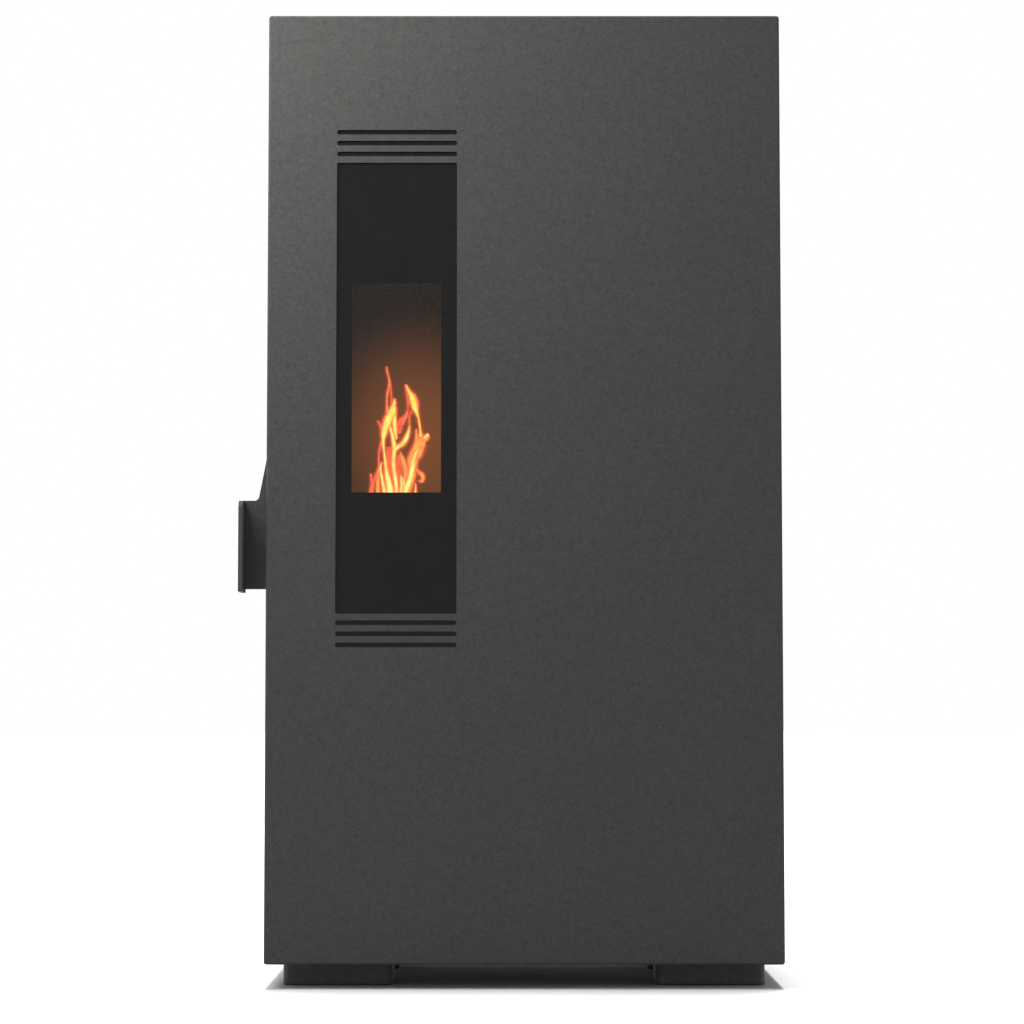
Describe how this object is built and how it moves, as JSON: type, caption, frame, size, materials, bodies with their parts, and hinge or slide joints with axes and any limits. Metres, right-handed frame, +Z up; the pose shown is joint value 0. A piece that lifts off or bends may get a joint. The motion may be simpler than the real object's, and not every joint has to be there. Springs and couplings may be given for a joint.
{
  "type": "pellet stove",
  "caption": "Slim free-standing pellet stove with a full-width sheet-steel door, tall narrow fire window, edge handle, hopper lid, controls on top and a rear flue spigot.",
  "frame": {"origin": "on the floor, under the middle of the whole stove from the grip to the right side and from the grip to the end of the flue spigot", "axes": "+Z up; the door, window and grip face -Y; the flue, air inlet and power inlet come out at +Y; -X is the handle side and +X the hinge side"},
  "size_m": [0.5782, 0.3742, 1.0513],
  "materials": {
    "stove_paint": "fine textured high temperature powder paint",
    "foot_plastic": "matt moulded rubber",
    "zinc_steel": "plain zinc coated sheet",
    "screw_steel": "blackened screw heads",
    "pin_steel": "turned steel",
    "furnace_steel": "matt heat resistant paint, sooted inside",
    "stove_iron": "raw casting",
    "liner_board": "pressed vermiculite board, darkened by smoke",
    "door_glass": "glass ceramic with a black printed border",
    "rope_seal": "braided glass fibre rope",
    "seal_rubber": "silicone sponge",
    "flue_steel": "matt black flue paint",
    "motor_steel": "grey enamel over laminations",
    "fan_aluminium": "pressed",
    "panel_plastic": "smooth black",
    "button_plastic": "fine matt",
    "display_lens": "smoked clear lens",
    "board_laminate": "green circuit laminate",
    "bronze_bush": "sintered bronze"
  },
  "bodies": {
    "stove": {"feet": "foot_plastic", "base_tray": "zinc_steel", "front_frame": "stove_paint", "left_side_panel": "stove_paint", "right_side_panel": "stove_paint", "rear_panel": "stove_paint", "cover_screws": "screw_steel", "top_plate": "stove_paint", "hinge_brackets": "stove_paint", "hinge_pins": "pin_steel", "latch_catch": "pin_steel", "firebox": "furnace_steel", "fireback": "stove_iron", "side_liners": "liner_board", "smoke_baffle": "liner_board", "burn_pot_holder": "furnace_steel", "ash_drawer": "furnace_steel", "igniter": "pin_steel", "air_intake_pipe": "zinc_steel", "smoke_duct": "zinc_steel", "smoke_fan_housing": "zinc_steel", "smoke_fan_motor": "motor_steel", "flue_spigot": "flue_steel", "heat_exchanger": "fan_aluminium", "air_duct": "zinc_steel", "blower_housing": "zinc_steel", "blower_motor": "motor_steel", "hopper": "zinc_steel", "hopper_grille": "pin_steel", "lid_hinge_brackets": "stove_paint", "auger_tube": "zinc_steel", "auger_bush": "bronze_bush", "auger_gearmotor": "motor_steel", "pellet_chute": "zinc_steel", "control_panel": "panel_plastic", "display_window": "display_lens", "control_board": "board_laminate", "pressure_switch": "button_plastic", "power_inlet": "panel_plastic", "thermostat_cap": "button_plastic"},
    "front_door": {"door_skin": "stove_paint", "door_glass": "door_glass", "glass_gasket": "rope_seal", "glass_retainer": "furnace_steel", "seal_channel": "furnace_steel", "door_rope_gasket": "rope_seal", "hinge_lugs": "stove_paint", "handle_bracket": "pin_steel"},
    "door_handle": {"handle_lever": "stove_paint"},
    "hopper_lid": {"hopper_lid": "stove_paint", "lid_gasket": "seal_rubber"},
    "auger_screw": {"auger_screw": "pin_steel"},
    "smoke_fan_impeller": {"smoke_fan_impeller": "zinc_steel"},
    "blower_rotor": {"blower_rotor": "fan_aluminium"},
    "burn_pot": {"burn_pot": "stove_iron"},
    "power_rocker": {"power_rocker": "button_plastic"},
    "button_power": {"button_power": "button_plastic"},
    "button_menu": {"button_menu": "button_plastic"},
    "button_down": {"button_down": "button_plastic"},
    "button_up": {"button_up": "button_plastic"}
  },
  "joints": [
    {"name": "door_hinge", "type": "hinge", "parent": "stove", "child": "front_door", "pos_m": [0.2811, -0.15088, 0.5], "axis": [0, 0, 1], "range_deg": [0, 95]},
    {"name": "handle_pivot", "type": "hinge", "parent": "front_door", "child": "door_handle", "pos_m": [-0.2419, -0.14888, 0.5], "axis": [0, 0, 1], "range_deg": [0, 20]},
    {"name": "lid_hinge", "type": "hinge", "parent": "stove", "child": "hopper_lid", "pos_m": [0.1411, 0.12162, 1.0463], "axis": [-1, 0, 0], "range_deg": [0, 80]},
    {"name": "auger_turn", "type": "hinge", "parent": "stove", "child": "auger_screw", "pos_m": [0.1891, -0.03488, 0.49], "axis": [-0.7071, 0, 0.7071], "continuous": true},
    {"name": "smoke_fan_turn", "type": "hinge", "parent": "stove", "child": "smoke_fan_impeller", "pos_m": [-0.1224, -0.00788, 0.112], "axis": [0, 0, 1], "continuous": true},
    {"name": "blower_turn", "type": "hinge", "parent": "stove", "child": "blower_rotor", "pos_m": [-0.1224, 0.10862, 0.535], "axis": [1, 0, 0], "continuous": true},
    {"name": "burn_pot_lift", "type": "slide", "parent": "stove", "child": "burn_pot", "axis": [0, 0, 1], "range_m": [0, 0.045]},
    {"name": "power_press", "type": "slide", "parent": "stove", "child": "button_power", "axis": [0, 0, -1], "range_m": [0, 0.0012], "stiffness_N_per_m": 800, "springref_m": -0.0008},
    {"name": "menu_press", "type": "slide", "parent": "stove", "child": "button_menu", "axis": [0, 0, -1], "range_m": [0, 0.0012], "stiffness_N_per_m": 800, "springref_m": -0.0008},
    {"name": "down_press", "type": "slide", "parent": "stove", "child": "button_down", "axis": [0, 0, -1], "range_m": [0, 0.0012], "stiffness_N_per_m": 800, "springref_m": -0.0008},
    {"name": "up_press", "type": "slide", "parent": "stove", "child": "button_up", "axis": [0, 0, -1], "range_m": [0, 0.0012], "stiffness_N_per_m": 800, "springref_m": -0.0008},
    {"name": "rocker_tilt", "type": "hinge", "parent": "stove", "child": "power_rocker", "pos_m": [0.2241, 0.14813, 0.12], "axis": [1, 0, 0], "range_deg": [0, 16]}
  ]
}
